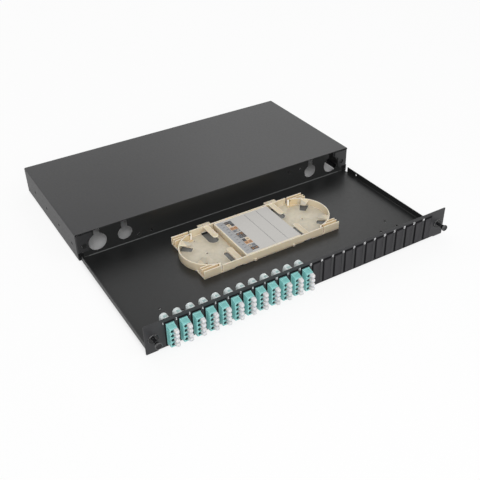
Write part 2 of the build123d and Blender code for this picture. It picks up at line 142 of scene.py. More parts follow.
def choose_none():
    """Deselects every object."""
    bpy.ops.object.select_all(action="DESELECT")


def choose_only(obj):
    """Makes one object the selected and active one."""
    choose_none()
    obj.select_set(True)
    bpy.context.view_layer.objects.active = obj


def place_in_mesh(name):
    """Moves the new object's place into its mesh, and names it."""
    bpy.ops.object.transform_apply(location=True, rotation=True, scale=True)
    obj = bpy.context.active_object
    obj.name = name
    return obj


def add_block(name, low, high):
    """A box between two corners."""
    choose_none()
    middle = (Vector(low) + Vector(high)) / 2
    bpy.ops.mesh.primitive_cube_add(size=1, location=middle, scale=Vector(high) - Vector(low))
    return place_in_mesh(name)


def add_ring(name, centre, radius, corners, turn=(math.pi / 2, 0, 0)):
    """A filled round outline, which faces the front unless it is turned another way."""
    choose_none()
    bpy.ops.mesh.primitive_circle_add(
        vertices=corners, radius=radius, fill_type="NGON", location=centre, rotation=turn
    )
    return place_in_mesh(name)


def pick_none(mode):
    """Deselects the open mesh in a mode, and gives it with its editable shape."""
    bpy.ops.mesh.select_mode(type=mode)
    bpy.ops.mesh.select_all(action="DESELECT")
    mesh = bpy.context.active_object.data
    return mesh, bmesh.from_edit_mesh(mesh)


def edit(obj):
    """Opens an object in edit mode with nothing selected."""
    choose_only(obj)
    bpy.ops.object.mode_set(mode="EDIT")
    pick_none("FACE")


def leave_edit():
    """Closes the open mesh."""
    bpy.ops.object.mode_set(mode="OBJECT")


def pick_all():
    """Selects everything in the open mesh."""
    bpy.ops.mesh.select_all(action="SELECT")


def pick_faces(test):
    """Selects the faces of the open mesh whose middle and normal pass the test."""
    mesh, shape = pick_none("FACE")
    shape.normal_update()
    for face in shape.faces:
        face.select_set(test(face.calc_center_median(), face.normal))
    bmesh.update_edit_mesh(mesh)


def pick_edges(test):
    """Selects the edges of the open mesh whose middle and direction pass the test."""
    mesh, shape = pick_none("EDGE")
    for edge in shape.edges:
        first, last = (vert.co for vert in edge.verts)
        edge.select_set(test((first + last) / 2, (last - first).normalized()))
    bmesh.update_edit_mesh(mesh)


def to_front(place, normal):
    """True for a face that looks to the front."""
    return normal.y < -0.9


def to_rear(place, normal):
    """True for a face that looks to the rear."""
    return normal.y > 0.9


def upright(place, run):
    """True for an edge that runs up."""
    return abs(run.z) > 0.9


def pull_out(move):
    """Extrudes what is selected by a vector."""
    bpy.ops.mesh.extrude_region_move(TRANSFORM_OT_translate={"value": tuple(move)})


def size_to(factors, centre):
    """Scales what is selected about a point."""
    bpy.ops.transform.resize(value=tuple(factors), center_override=tuple(centre))


def bevel(width, segments):
    """Bevels the selected edges."""
    bpy.ops.mesh.bevel(offset=width, segments=segments, affect="EDGES")


def draw_out(centre, radius, start, profile):
    """Draws a round outline along Y through pairs of radius in millimetres and place, to the last place."""
    for wide, place in profile:
        pull_out((0, place - start, 0))
        factor = wide / radius
        size_to((factor, 1, factor), (centre.x, place, centre.z))
        radius = wide
        start = place
    return start


def face_outwards():
    """Turns all faces of the open mesh outwards."""
    pick_all()
    bpy.ops.mesh.normals_make_consistent(inside=False)


def smooth(obj, angle):
    """Smooths the faces that meet at less than an angle in degrees."""
    choose_only(obj)
    bpy.ops.object.shade_smooth_by_angle(angle=math.radians(angle))


def apply_modifier(obj, kind, **settings):
    """Gives an object a modifier with its settings, and applies it."""
    choose_only(obj)
    modifier = obj.modifiers.new(kind, kind)
    for name, value in settings.items():
        setattr(modifier, name, value)
    bpy.ops.object.modifier_apply(modifier=modifier.name)


def round_edges(obj, width, segments=2, angle=30):
    """Rounds every sharp edge and smooths the faces between."""
    sharp = {"limit_method": "ANGLE", "angle_limit": math.radians(angle), "use_clamp_overlap": True}
    apply_modifier(obj, "BEVEL", width=width, segments=segments, **sharp)
    smooth(obj, angle)


def cut_away(obj, cutter):
    """Cuts one object's shape out of another and removes the cutter."""
    apply_modifier(obj, "BOOLEAN", operation="DIFFERENCE", solver="EXACT", object=cutter)
    bpy.data.objects.remove(cutter)


def join_all(objects, name):
    """Makes one piece of one or more objects."""
    choose_none()
    for obj in objects:
        obj.select_set(True)
    bpy.context.view_layer.objects.active = objects[0]
    if len(objects) > 1:
        bpy.ops.object.join()
    objects[0].name = name
    return objects[0]


def copy_by(obj, name, move):
    """A copy with a mesh of its own, moved by a vector."""
    choose_only(obj)
    bpy.ops.object.duplicate()
    bpy.ops.transform.translate(value=tuple(move))
    return place_in_mesh(name)


def copy_of_node(node, name):
    """The frame's own shape as a new piece, with its loose triangles merged into faces."""
    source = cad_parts[node]
    obj = bpy.data.objects.new(name, source.data.copy())
    bpy.context.scene.collection.objects.link(obj)
    obj.data.materials.clear()
    edit(obj)
    pick_all()
    bpy.ops.mesh.remove_doubles(threshold=0.001 * MM)
    bpy.ops.mesh.dissolve_limited(angle_limit=math.radians(0.5))
    leave_edit()
    return obj


def settle(obj, body, slot, material, *nodes):
    """Gives a finished piece its material and body, and hides the nodes that it stands for. Its slot is not
    used.
    """
    obj.data.materials.append(material)
    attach(obj, body)
    if nodes:
        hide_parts(*nodes)


def settle_at_ports(piece, name, ports, slot, material, node):
    """Copies the first port's piece to the other ports and settles them all."""
    for port in reversed(ports):
        move = ((port - ports[0]) * PORT_PITCH, 0, 0)
        fitted = piece if port == ports[0] else copy_by(piece, f"{name}_{port:02d}", move)
        settle(fitted, "drawer", slot, material, f"{node}_{port:02d}")


def dress_node(node, material):
    """Gives a node of the frame its finish."""
    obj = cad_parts[node]
    if not obj.material_slots:
        obj.data.materials.append(material)
    for place in obj.material_slots:
        place.material = material


# Finishes: first the helpers that lay down nodes, then one function for each finish


def start_finish(name):
    """A new material with its shader and object coordinates."""
    material = bpy.data.materials.new(name)
    material.use_nodes = True
    tree = material.node_tree
    return material, tree, tree.nodes["Principled BSDF"], add_step(tree, "TexCoord")["Object"]


def add_step(tree, kind, values=None, **settings):
    """The outputs of a new node, whose inputs are given values or other nodes' outputs."""
    step = tree.nodes.new(f"ShaderNode{kind}")
    for name, value in settings.items():
        setattr(step, name, value)
    for name, value in (values or {}).items():
        if isinstance(value, bpy.types.NodeSocket):
            tree.links.new(value, step.inputs[name])
        else:
            step.inputs[name].default_value = value
    return step.outputs


def noise(tree, place, scale, detail=2.0, roughness=0.5):
    """A noise pattern, as many grains to the metre as its scale."""
    values = {"Vector": place, "Scale": scale, "Detail": detail, "Roughness": roughness}
    return add_step(tree, "TexNoise", values)["Fac"]


def between(tree, value, low, high, start=0.3, end=0.7):
    """Maps a pattern from start and end to low and high."""
    values = {"Value": value, "From Min": start, "From Max": end, "To Min": low, "To Max": high}
    return add_step(tree, "MapRange", values)["Result"]


def mixed(tree, factor, *sides):
    """A colour between two, each a colour or another node's output."""
    first, second = (side if isinstance(side, bpy.types.NodeSocket) else (*side, 1.0) for side in sides)
    # A Mix node takes its colours at inputs 6 and 7, and gives one at output 2
    return add_step(tree, "Mix", {"Factor": factor, 6: first, 7: second}, data_type="RGBA")[2]


def joined(tree, operation, *values):
    """The result of a sum on values, each a number or a node's output."""
    return add_step(tree, "Math", dict(enumerate(values)), operation=operation)["Value"]


def shade(colour, factor):
    """A colour made lighter or darker."""
    return tuple(min(1.0, part * factor) for part in colour)


def cloudy(tree, pattern, colour, dark, pale):
    """A colour that a pattern shades from a dark to a pale factor."""
    return mixed(tree, between(tree, pattern, 0.0, 1.0), shade(colour, dark), shade(colour, pale))


def split(tree, place):
    """The X, Y and Z of a place."""
    return add_step(tree, "SeparateXYZ", {"Vector": place})


def inside(tree, place, low, high):
    """One within a box, and nothing outside it."""
    spans = [
        joined(tree, "COMPARE", output, (start + end) / 2, (end - start) / 2)
        for output, start, end in zip(split(tree, place), low, high)
    ]
    return joined(tree, "MULTIPLY", joined(tree, "MULTIPLY", *spans[:2]), spans[2])


def at_each_port(tree, place, low, high, middle):
    """One in a box at every port, given as distances from the first port's middle."""
    parts = split(tree, place)
    start = middle.x + (low.x + high.x) / 2
    aside = joined(tree, "PINGPONG", joined(tree, "SUBTRACT", parts["X"], start), PORT_PITCH / 2)
    total = joined(tree, "COMPARE", aside, 0.0, (high.x - low.x) / 2)
    for axis in (1, 2):
        centre = middle[axis] + (low[axis] + high[axis]) / 2
        span = joined(tree, "COMPARE", parts[axis], centre, (high[axis] - low[axis]) / 2)
        total = joined(tree, "MULTIPLY", total, span)
    return total


def mirrored_place(tree, place, middle):
    """How far a place is from a middle along each axis."""
    for operation in ("SUBTRACT", "ABSOLUTE"):
        place = add_step(tree, "VectorMath", {0: place, 1: middle}, operation=operation)["Vector"]
    return place


def edge_mask(tree, radius):
    """One along the edges of a piece, and nothing on its faces."""
    rounded = add_step(tree, "Bevel", {"Radius": radius}, samples=4)["Normal"]
    surface = add_step(tree, "NewGeometry")["Normal"]
    turn = add_step(tree, "VectorMath", {0: rounded, 1: surface}, operation="DOT_PRODUCT")["Value"]
    return between(tree, turn, 1.0, 0.0, 0.90, 0.995)


def hollows(tree, reach, depth):
    """Painted shade: nothing on open faces, rising to a depth in corners, gaps and holes."""
    shelter = add_step(tree, "AmbientOcclusion", {"Distance": reach}, samples=8)["AO"]
    return between(tree, shelter, depth, 0.0, 0.25, 0.92)


def let_light_in(shader, weight, shares):
    """Lets light scatter under the skin, as far as a share of the scale for red, green and blue."""
    shader.inputs["Subsurface Weight"].default_value = weight
    shader.inputs["Subsurface Radius"].default_value = shares
    shader.inputs["Subsurface Scale"].default_value = 1.5 * MM


def bumped(tree, shader, height, strength, rise):
    """Raises the surface by a pattern, with its rise in millimetres."""
    bump = add_step(tree, "Bump", {"Strength": strength, "Distance": rise * MM, "Height": height})
    tree.links.new(bump["Normal"], shader.inputs["Normal"])


def skinned(tree, shader, place, body, scale, glossy, dull):
    """Lays a body colour, and a roughness that wanders between two values."""
    tree.links.new(body, shader.inputs["Base Color"])
    tree.links.new(between(tree, noise(tree, place, scale), glossy, dull), shader.inputs["Roughness"])


def powder_coat(name, colour, painted_edge_light, dull, painted_light_boxes=()):
    """Fine-textured black powder coat, with its edges painted paler as highlight and wear, or darker as shade.

    Each patch of painted light is a box, as two corners, and the factor that makes the paint paler there.
    """
    material, tree, shader, place = start_finish(name)
    body = cloudy(tree, noise(tree, place, 9.0, 3.0), colour, 0.93, 1.07)
    grain = noise(tree, place, 1500.0, 2.0, 0.6)
    speckled = mixed(tree, between(tree, grain, 0.0, 0.35, 0.45, 0.75), body, shade(colour, 1.6))
    edges = edge_mask(tree, 0.5 * MM)
    # Painted edge light: edges turn paler as highlight and wear, or darker as shade, by the factor
    painted_edge_mask = between(tree, edges, 0.0, 0.5, 0.2, 1.0)
    coat = mixed(tree, painted_edge_mask, speckled, shade(colour, painted_edge_light))
    # Each box is painted paler, as light
    for low, high, factor in painted_light_boxes:
        coat = mixed(tree, inside(tree, place, low, high), coat, shade(colour, factor))
    tree.links.new(coat, shader.inputs["Base Color"])
    gloss = between(tree, noise(tree, place, 300.0), 0.34, 0.42)
    gloss = joined(tree, "MAXIMUM", gloss, between(tree, edges, 0.0, dull, 0.1, 0.7))
    tree.links.new(gloss, shader.inputs["Roughness"])
    bumped(tree, shader, grain, 0.12, 0.05)
    return material


def moulding(
    name, colour, gloss, variation, translucency=0.0, grain=0.02, hollow_shade_depth=0.0, reach=5.0, rim_highlight=None, cavity_shade=()
):
    """An injection-moulded plastic with faint flow marks and a fine skin, with painted shade in its crevices
    and a painted highlight along its rims.

    Grain and reach are in millimetres. A cavity shade is a factor of painted shade, a box at every port and the
    first port's middle.
    """
    material, tree, shader, place = start_finish(name)
    body = cloudy(tree, noise(tree, place, 45.0, 3.0), colour, 1 - variation, 1 + variation)
    # A painted highlight pales the rims
    if rim_highlight:
        edges = between(tree, edge_mask(tree, 0.6 * MM), 0.0, 1.0, 0.1, 0.7)
        body = mixed(tree, edges, body, rim_highlight)
    # Painted shade darkens the crevices
    if hollow_shade_depth:
        body = mixed(tree, hollows(tree, reach * MM, hollow_shade_depth), body, shade(colour, 0.05))
    # Painted shade in each cavity box at every port
    for factor, low, high, middle in cavity_shade:
        body = mixed(tree, at_each_port(tree, place, low, high, middle), body, shade(colour, factor))
    skinned(tree, shader, place, body, 160.0, gloss - 0.04, gloss + 0.05)
    let_light_in(shader, translucency, (1.0, 0.8, 0.6))
    bumped(tree, shader, noise(tree, place, 2600.0), 0.15, grain)
    return material


def ivory_moulding(name, colour, middle, deck):
    """Ivory plastic: a painted highlight along its rims, amber in its channels, painted amber shade in its
    crevices, painted grey shade on its ring tabs, and greyer and blotched on its floor.
    """
    material, tree, shader, place = start_finish(name)
    red, green, blue = colour
    grey = (red * 0.88, green * 0.93, blue * 1.02)
    honey = (red, green * 0.91, blue * 0.76)
    amber = (red * 0.80, green * 0.62, blue * 0.42)
    body = cloudy(tree, noise(tree, place, 45.0, 3.0), colour, 0.97, 1.03)
    on_deck = between(tree, split(tree, place)["Z"], 1.0, 0.0, deck + 0.2 * MM, deck + 1.0 * MM)
    blotched = cloudy(tree, noise(tree, place, 210.0, 5.0, 0.7), grey, 0.92, 1.08)
    body = mixed(tree, on_deck, body, blotched)
    offset = mirrored_place(tree, place, middle)
    body = mixed(tree, inside(tree, offset, *HORN_ZONE), body, honey)
    # Painted shade, amber, in the crevices; then a painted highlight along the rims
    body = mixed(tree, hollows(tree, 4.0 * MM, 0.75), body, amber)
    rim_highlight = between(tree, edge_mask(tree, 1.2 * MM), 0.0, 1.0, 0.03, 0.5)
    body = mixed(tree, rim_highlight, body, (0.92, 0.87, 0.77))
    # Painted shade darkens the ring tabs to the floor's tone
    body = mixed(tree, inside(tree, offset, *TAB_SHADE_ZONE), body, shade(grey, 0.9))
    skinned(tree, shader, place, body, 160.0, 0.36, 0.46)
    let_light_in(shader, 0.25, (1.0, 0.7, 0.4))
    bumped(tree, shader, noise(tree, place, 2600.0), 0.15, 0.02)
    return material


def clear_moulding(name, colour, through, low, high):
    """A milky moulding with whiter edges as a painted highlight, and a patch on each cover painted with the
    aqua of what shows through it.
    """
    material, tree, shader, place = start_finish(name)
    body = cloudy(tree, noise(tree, place, 120.0), colour, 0.95, 1.05)
    rim_highlight = between(tree, edge_mask(tree, 1.0 * MM), 0.0, 1.0, 0.05, 0.5)
    body = mixed(tree, rim_highlight, body, (0.95, 0.97, 0.97))
    # Painted see-through: the patch takes the aqua of the socket's end behind the cover
    patch = between(tree, at_each_port(tree, place, low, high, FIRST_PORT), 0.0, 0.8, 0.0, 1.0)
    skinned(tree, shader, place, mixed(tree, patch, body, through), 200.0, 0.28, 0.40)
    shader.inputs["Transmission Weight"].default_value = 0.35
    shader.inputs["IOR"].default_value = 1.45
    bumped(tree, shader, noise(tree, place, 1800.0), 0.1, 0.02)
    return material


def soft_rubber(name, colour):
    """A dull, faintly dusty rubber."""
    material, tree, shader, place = start_finish(name)
    body = cloudy(tree, noise(tree, place, 260.0, 4.0), colour, 1.0, 1.35)
    skinned(tree, shader, place, body, 90.0, 0.66, 0.82)
    shader.inputs["Specular IOR Level"].default_value = 0.12
    bumped(tree, shader, noise(tree, place, 1200.0), 0.2, 0.03)
    return material


def printed(name, colour):
    """A flat printing ink with a slightly uneven lay."""
    material, tree, shader, place = start_finish(name)
    body = cloudy(tree, noise(tree, place, 900.0, 3.0), colour, 0.88, 1.05)
    skinned(tree, shader, place, body, 500.0, 0.42, 0.56)
    return material


def card(name, colour):
    """Coated card with a faint fibre."""
    material, tree, shader, place = start_finish(name)
    fibre = noise(tree, place, 700.0, 6.0, 0.7)
    skinned(tree, shader, place, cloudy(tree, fibre, colour, 0.95, 1.04), 150.0, 0.40, 0.52)
    bumped(tree, shader, fibre, 0.1, 0.02)
    return material


# Pieces


class DressMetal(bpy.types.Operator):
    """Gives the sleeve, the drawer and the front panel their powder coat"""

    bl_idname = "patch_panel.dress_metal"
    bl_label = "Painted sheet metal"

    def execute(self, context):
        colours = context.scene.panel_colours
        # The sleeve's and the panel's edges are painted darker, as shade; the drawer's edges paler, as
        # highlight and wear
        dark_edge_shade = (0.2, 1.0)
        edge_highlight_and_wear = (6.0, 0.0)
        coat = powder_coat("Drawer powder coat", colours.drawer_paint, *edge_highlight_and_wear, self.pale_patches())
        dress_node("sleeve", powder_coat("Sleeve powder coat", colours.sleeve_paint, *dark_edge_shade))
        dress_node("drawer_pan", coat)
        dress_node("front_panel", powder_coat("Panel powder coat", colours.panel_paint, *dark_edge_shade))
        self.corner_tabs(coat)
        return {"FINISHED"}

    def pale_patches(self):
        """The drawer's floor under the tray, painted paler as light where ivory light falls, and a painted
        highlight along the bend at its rear wall.
        """
        tray_low, tray_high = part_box("splice_tray")
        floor = tray_low.z
        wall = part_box("drawer_pan")[1].y - SHEET
        half_bend = 205.0 * MM
        margin = Vector((9.0, 9.0, 0.0)) * MM
        step = Vector((0.0, 0.0, 0.2 * MM))
        # Painted light on the floor seen through the tray's openings, and a painted highlight line along the
        # bend
        light_under_tray = (tray_low + margin - step, Vector((tray_high.x, tray_high.y, floor)) - margin + step, 12.0)
        bend_highlight_low = (-half_bend, wall - 0.9 * MM, floor - step.z)
        bend_highlight_high = (half_bend, wall + 0.1 * MM, floor + 0.8 * MM)
        return light_under_tray, (bend_highlight_low, bend_highlight_high, 6.0)

    def corner_tabs(self, coat):
        """Two small tabs that carry the drawer's floor on into its rear corners."""
        low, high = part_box("drawer_pan")
        near = Vector((high.x - 5.6 * MM, high.y - 10.3 * MM, low.z))
        far = Vector((high.x - 0.8 * MM, high.y - 2.8 * MM, low.z + SHEET))
        right = add_block("floor_corner_right", near, far)
        edit(right)
        pick_edges(lambda place, run: upright(place, run) and place.y > far.y - 1.0 * MM)
        bevel(1.2 * MM, 3)
        leave_edit()
        round_edges(right, 0.15 * MM)
        left = copy_by(right, "floor_corner_left", (-near.x - far.x, 0, 0))
        settle(join_all([left, right], "floor_corners"), "drawer", "drawer_paint", coat)


class FitGaskets(bpy.types.Operator):
    """Gives the gaskets round the ports their black rubber, whose black also stands in as painted shade for the
    dark bands round each port
    """

    bl_idname = "patch_panel.fit_gaskets"
    bl_label = "Gaskets"

    def execute(self, context):
        dress_node("port_gaskets", soft_rubber("Gasket rubber", context.scene.panel_colours.black_plastic))
        return {"FINISHED"}


class PrintNumbers(bpy.types.Operator):
    """Prints the port numbers on the front panel"""

    bl_idname = "patch_panel.print_numbers"
    bl_label = "Port numbers"

    # The numbers' place beside their port, the middle of one and of two digits, and how they are drawn
    to_port = 9.05 * MM
    digit_middles = (1.25 * MM, 1.0 * MM)
    row_height = 35.1 * MM
    digit_share = 0.70
    digit_width = 0.62
    stroke_growth = 0.09 * MM

    def execute(self, context):
        sizes = context.scene.panel_sizes
        digits = []
        for port in (*FITTED_PORTS, *EMPTY_PORTS):
            choose_none()
            middle = self.digit_middles[port > 9]
            across = FIRST_PORT.x - self.to_port + (port - 1) * PORT_PITCH + middle
            place = (across, PANEL_FACE, self.row_height)
            bpy.ops.object.text_add(location=place, rotation=(math.pi / 2, 0, 0))
            number = context.active_object
            number.data.body = str(port)
            number.data.align_x = number.data.align_y = "CENTER"
            number.data.size = sizes.number_height / self.digit_share
            number.data.offset = self.stroke_growth
            number.data.extrude = sizes.ink_thickness
            number.scale = (self.digit_width, 1.0, 1.0)
            bpy.ops.object.convert(target="MESH")
            digits.append(place_in_mesh("digits"))
        ink = printed("Number ink", context.scene.panel_colours.number_white)
        settle(join_all(digits, "port_numbers"), "drawer", "panel_paint", ink)
        return {"FINISHED"}


class FitAdapters(bpy.types.Operator):
    """Models one four-socket adapter and copies it to the fitted ports"""

    bl_idname = "patch_panel.fit_adapters"
    bl_label = "Adapters"

    # The tail's share of the flange in X and Z, and the nose's taper
    tail_share = (7.8 / 9.8, 1, 26.0 / 29.6)
    nose_taper = (0.985, 1, 0.90)
    # The latch notch beside each socket
    latch_shift = 1.95 * MM
    latch_radius = 2.5 * MM
    latch_squash = 0.96
    latch_depth = 7.0 * MM
    # The grip hollow in the nose's top: half its width, its ends before the flange, and its depth
    grip_half = 2.6 * MM
    grip_front = 5.2 * MM
    grip_rear = 1.2 * MM
    grip_depth = 1.2 * MM

    def execute(self, context):
        sizes = context.scene.panel_sizes
        low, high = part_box("adapter_01")
        middle = (low + high) / 2
        flange_face = GASKET_FACE - sizes.flange_depth
        body = add_block("adapter_body_01", (low.x, flange_face, low.z), (high.x, GASKET_FACE, high.z))
        edit(body)
        pick_faces(to_front)
        bpy.ops.mesh.inset(thickness=0.35 * MM)
        pull_out((0, low.y - flange_face, 0))
        size_to(self.nose_taper, (middle.x, low.y, middle.z))
        pick_faces(to_rear)
        pull_out((0, 0, 0))
        size_to(self.tail_share, (middle.x, GASKET_FACE, middle.z))
        pull_out((0, high.y - GASKET_FACE, 0))
        leave_edit()
        for index in range(4):
            height = middle.z + (1.5 - index) * SOCKET_PITCH
            cut_away(body, self.socket(sizes, middle.x + sizes.socket_shift, low.y, height))
            cut_away(body, self.latch(middle.x - self.latch_shift, low.y, height))
        grip = add_block(
            "grip",
            (middle.x - self.grip_half, flange_face - self.grip_front, high.z - self.grip_depth),
            (middle.x + self.grip_half, flange_face - self.grip_rear, high.z + MM),
        )
        cut_away(body, grip)
        round_edges(body, sizes.edge_round)
        colour = context.scene.panel_colours.adapter_aqua
        # Painted shade darkens the latch notch beside each socket and the crevices; the rims get a painted
        # highlight
        notch_shade_low = Vector((-4.25, 0.15, -12.3)) * MM
        notch_shade_high = Vector((0.35, 7.5, 12.3)) * MM
        notch_shade = (0.16, notch_shade_low, notch_shade_high, Vector((middle.x, low.y, middle.z)))
        aqua = moulding(
            "Adapter aqua", colour, 0.3, 0.05, 0.1,
            hollow_shade_depth=0.7, reach=3.8, rim_highlight=(0.50, 0.88, 0.86), cavity_shade=[notch_shade],
        )
        settle_at_ports(body, "adapter_body", FITTED_PORTS, "adapter_plastic", aqua, "adapter")
        return {"FINISHED"}

    def socket(self, sizes, across, face, height):
        """The shape of one square socket, which is cut away."""
        half = sizes.socket_size / 2
        low = (across - half, face - MM, height - half)
        return add_block("socket", low, (across + half, face + sizes.socket_depth, height + half))

    def latch(self, across, face, height):
        """The shape of the latch notch beside a socket, which is cut away."""
        notch = add_ring("latch", (across, face - MM, height), self.latch_radius, 4)
        edit(notch)
        pick_all()
        size_to((self.latch_squash, 1, 1), (across, face, height))
        pull_out((0, self.latch_depth, 0))
        face_outwards()
        leave_edit()
        return notch


class FitPortCaps(bpy.types.Operator):
    """Models one dust cap and copies it to every socket of the fitted ports"""

    bl_idname = "patch_panel.fit_port_caps"
    bl_label = "Port caps"

    # The front's and the plug's share of the head in X and Z
    front_share = (0.84, 1, 0.80)
    plug_share = (0.77, 1, 0.85)
    plug_depth = 6.0 * MM

    def execute(self, context):
        low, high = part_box("port_caps_01")
        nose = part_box("adapter_01")[0].y
        tall = context.scene.panel_sizes.cap_height
        cap = add_block("cap", (low.x, low.y, high.z - tall), (high.x, nose, high.z))
        centre = Vector(((low.x + high.x) / 2, 0, high.z - tall / 2))
        edit(cap)
        pick_faces(to_front)
        size_to(self.front_share, (centre.x + 0.2 * MM, low.y, centre.z))
        pick_edges(lambda place, run: place.y < nose - 0.5 * MM)
        bevel(1.5 * MM, 4)
        pick_faces(to_rear)
        pull_out((0, 0, 0))
        size_to(self.plug_share, centre)
        pull_out((0, self.plug_depth, 0))
        leave_edit()
        smooth(cap, 40)
        stack = [cap] + [copy_by(cap, "cap", (0, 0, -index * SOCKET_PITCH)) for index in range(1, 4)]
        caps = join_all(stack, "dust_caps_01")
        colour = context.scene.panel_colours.cap_white
        # Painted shade darkens the gaps between the caps
        white = moulding("Cap white", colour, 0.3, 0.03, 0.2, hollow_shade_depth=0.4, reach=1.5)
        settle_at_ports(caps, "dust_caps", FITTED_PORTS, "port_cap_plastic", white, "port_caps")
        return {"FINISHED"}


class FitRearCovers(bpy.types.Operator):
    """Models one translucent rear cover and copies it to the fitted ports"""

    bl_idname = "patch_panel.fit_rear_covers"
    bl_label = "Rear covers"

    # The roundings of the long edges and of the closed end
    long_round = 4.4 * MM
    end_round = 1.0 * MM

    def execute(self, context):
        low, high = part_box("rear_cap_01")
        cover = add_block("rear_cover_01", low, high)
        edit(cover)
        pick_edges(lambda place, run: abs(run.y) > 0.9)
        bevel(self.long_round, 7)
        pick_edges(lambda place, run: place.y > high.y - 0.01 * MM)
        bevel(self.end_round, 3)
        pick_faces(to_front)
        bpy.ops.mesh.delete(type="FACE")
        leave_edit()
        apply_modifier(cover, "SOLIDIFY", thickness=context.scene.panel_sizes.cover_wall, offset=-1)
        smooth(cover, 35)
        half = (high - low) / 2
        # A faint aqua patch is painted on each cover where the socket's end shows through it
        painted_through_low = Vector((-2.2 * MM, half.y - 8.6 * MM, half.z - 5.0 * MM))
        painted_through_high = Vector((2.2 * MM, half.y - 5.0 * MM, half.z + 1.0 * MM))
        colour = context.scene.panel_colours.cover_white
        milky = clear_moulding("Rear cover white", colour, (0.36, 0.58, 0.56), painted_through_low, painted_through_high)
        settle_at_ports(cover, "rear_cover", FITTED_PORTS, "rear_cap_plastic", milky, "rear_cap")
        return {"FINISHED"}


class FitBlanks(bpy.types.Operator):
    """Models one blanking cover and copies it to the empty ports"""

    bl_idname = "patch_panel.fit_blanks"
    bl_label = "Blanking covers"

    # The step along the top and how far it lies back, the sunk field, and the plug behind the panel
    step_height = 1.8 * MM
    step_back = 0.5 * MM
    field_rim = 1.1 * MM
    field_depth = 0.35 * MM
    plug_half = Vector((4.75, 0.0, 13.1)) * MM
    plug_wall = 1.2 * MM

    def execute(self, context):
        low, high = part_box("blank_13")
        middle = (low + high) / 2
        ledge = high.z - self.step_height
        cover = add_block("blanking_cover_13", low, (high.x, GASKET_FACE, high.z))
        edit(cover)
        pick_all()
        bpy.ops.mesh.bisect(plane_co=(0, 0, ledge), plane_no=(0, 0, 1))
        pick_faces(lambda place, normal: to_front(place, normal) and place.z > ledge)
        bpy.ops.transform.translate(value=(0, self.step_back, 0))
        pick_faces(lambda place, normal: to_front(place, normal) and place.z < ledge)
        bpy.ops.mesh.inset(thickness=self.field_rim)
        bpy.ops.transform.translate(value=(0, self.field_depth, 0))
        leave_edit()
        plug_low = Vector((middle.x, GASKET_FACE, middle.z)) - self.plug_half
        plug_high = Vector((middle.x, high.y, middle.z)) + self.plug_half
        plug = add_block("plug", plug_low, plug_high)
        edit(plug)
        pick_faces(to_rear)
        bpy.ops.mesh.inset(thickness=self.plug_wall)
        pull_out((0, GASKET_FACE - high.y + 0.4 * MM, 0))
        leave_edit()
        round_edges(cover, 0.3 * MM)
        round_edges(plug, 0.15 * MM, 1)
        cover = join_all([cover, plug], "blanking_cover_13")
        black = moulding("Blank plastic", context.scene.panel_colours.blank_plastic, 0.5, 0.05, grain=0.04)
        settle_at_ports(cover, "blanking_cover", EMPTY_PORTS, "blank_plastic", black, "blank")
        return {"FINISHED"}


class FitPlungers(bpy.types.Operator):
    """Turns the two plungers and the grommets that guide them"""

    bl_idname = "patch_panel.fit_plungers"
    bl_label = "Plungers and grommets"

    # In millimetres: the pin and its bore, the fluted band, and the knob's radius and distance behind its front
    pin_radius = 2.0
    bore_radius = 2.05
    band = (0.7, 1.9)
    knob_profile = (
        (2.0, 6.5), (2.6, 6.5), (2.75, 5.4), (3.1, 3.6), (3.8, 2.4),
        (4.3, 1.9), (4.3, 0.7), (3.9, 0.15), (3.2, 0.0), (2.2, 0.35),
    )

    def execute(self, context):
        flutes = context.scene.panel_sizes.knob_flutes
        black = context.scene.panel_colours.black_plastic
        # The paler rims paint glints on the black nylon
        nylon = moulding("Plunger nylon", black, 0.18, 0.1, rim_highlight=(0.20, 0.20, 0.20))
        grommet_nylon = moulding("Grommet nylon", black, 0.25, 0.1, rim_highlight=(0.28, 0.28, 0.28))
        rings = []
        for side in ("left", "right"):
            low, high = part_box(f"plunger_{side}")
            centre = Vector(((low.x + high.x) / 2, high.y, (low.z + high.z) / 2))
            knob = self.knob(f"plunger_knob_{side}", centre, low.y, flutes)
            settle(knob, f"plunger_{side}", "plunger_plastic", nylon, f"plunger_{side}")
            rings.append(self.grommet(centre))
        settle(join_all(rings, "grommet_rings"), "drawer", "grommet_nylon", grommet_nylon, "grommets")
        return {"FINISHED"}

    def knob(self, name, tip, front, flutes):
        """One plunger, drawn out from its pin's tip to its knob, with finger flutes round the band."""
        knob = add_ring(name, tip, self.pin_radius * MM, 2 * flutes)
        edit(knob)
        pick_all()
        draw_out(tip, self.pin_radius, tip.y, [(wide, front + back * MM) for wide, back in self.knob_profile])
        face_outwards()
        start, end = (front + edge * MM for edge in self.band)

        def on_flute(place, normal):
            turn = math.atan2(place.z - tip.z, place.x - tip.x) / (2 * math.pi)
            return start < place.y < end and int((turn % 1.0) * 2 * flutes) % 2 == 0

        pick_faces(on_flute)
        bpy.ops.mesh.inset(thickness=0.12 * MM, depth=-0.22 * MM, use_individual=True)
        leave_edit()
        smooth(knob, 32)
        return knob

    def grommet(self, centre):
        """One grommet: a rounded flange with a snap barrel behind it and a bore right through."""
        low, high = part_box("grommets")
        ring = add_ring("grommet", (centre.x, high.y, centre.z), self.bore_radius * MM, 40)
        profile = (
            (3.1, high.y), (3.4, high.y - 0.4 * MM), (3.4, PANEL_FACE), (6.3, PANEL_FACE),
            (6.5, PANEL_FACE - 0.3 * MM), (6.4, low.y + 0.6 * MM), (5.9, low.y + 0.15 * MM), (5.2, low.y),
            (4.2, low.y + 0.25 * MM), (2.6, low.y + 0.3 * MM), (self.bore_radius, low.y + 0.7 * MM),
        )
        edit(ring)
        pick_all()
        bpy.ops.mesh.delete(type="ONLY_FACE")
        bpy.ops.mesh.select_mode(type="EDGE")
        pick_all()
        bore_front = draw_out(centre, self.bore_radius, high.y, profile)
        pull_out((0, high.y - bore_front, 0))
        pick_all()
        bpy.ops.mesh.remove_doubles(threshold=0.002 * MM)
        face_outwards()
        leave_edit()
        smooth(ring, 32)
        return ring


